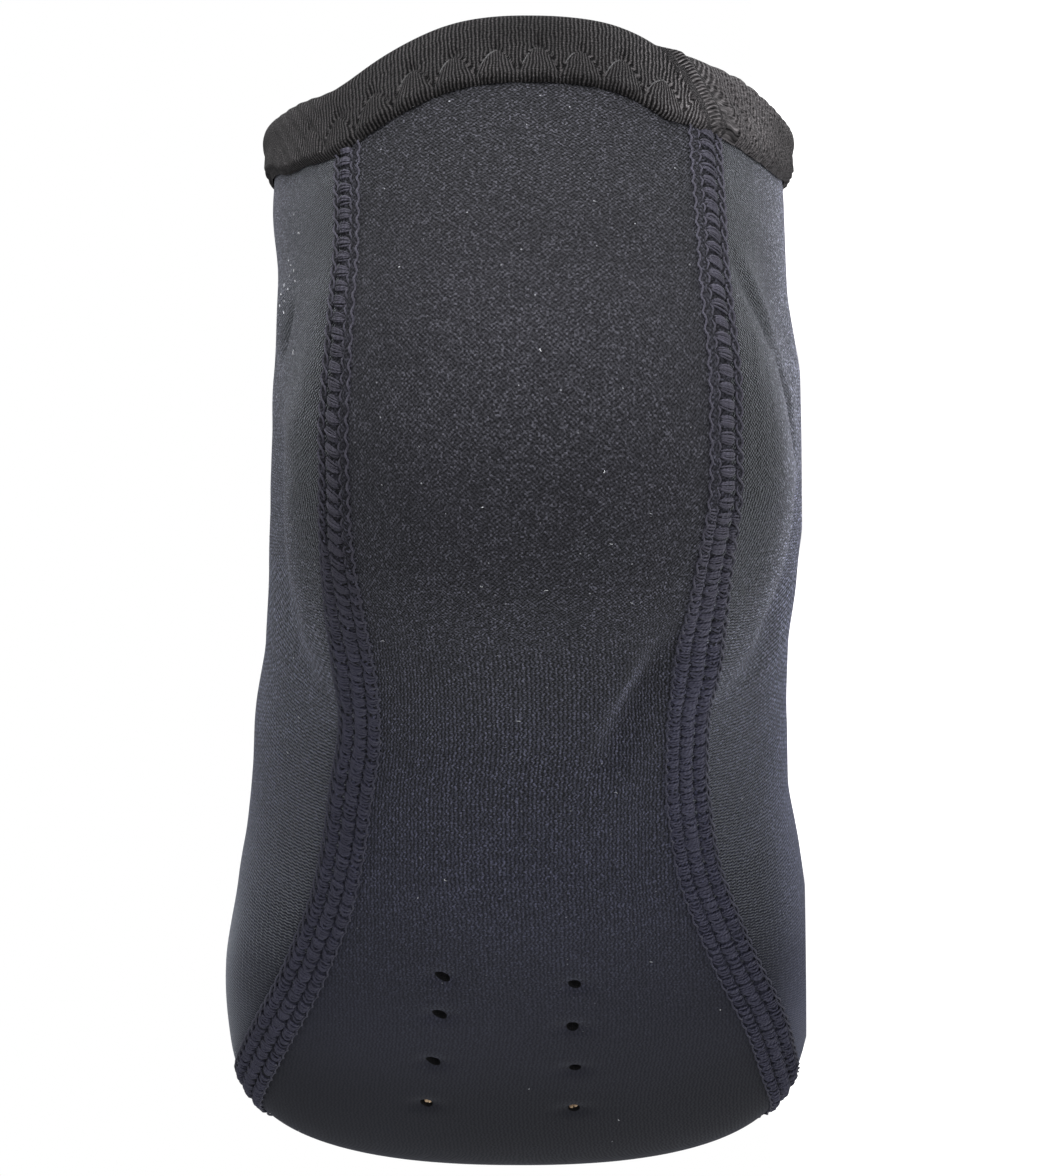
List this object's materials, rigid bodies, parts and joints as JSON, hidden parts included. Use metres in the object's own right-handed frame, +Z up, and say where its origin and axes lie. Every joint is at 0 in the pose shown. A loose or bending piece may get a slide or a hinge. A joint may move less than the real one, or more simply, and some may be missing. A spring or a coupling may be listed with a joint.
{
  "type": "neoprene fin sock",
  "caption": "Low black neoprene fin sock lying on its side: sole panel that runs up the heel, flatlock seam, drain holes in the forefoot and a ribbed tape binding round the open collar.",
  "frame": {"origin": "centre of the lying sock's box, on the floor it lies on", "axes": "+Y towards the toe, +X towards the collar, +Z up: the sock lies on its right side, with the wearer's left side up"},
  "size_m": [0.082, 0.2254, 0.0815],
  "materials": {
    "upper_neoprene": "black knit laminated on foam, matte with a pale sheen at the edges",
    "sole_neoprene": "black knit laminated on foam, matte",
    "seam_thread": "black textured thread, soft satin",
    "binding_tape": "black rib knit tape, matte"
  },
  "bodies": {
    "root": {"upper": "upper_neoprene", "sole": "sole_neoprene", "flatlock_seam": "seam_thread", "collar_binding": "binding_tape"}
  },
  "joints": []
}
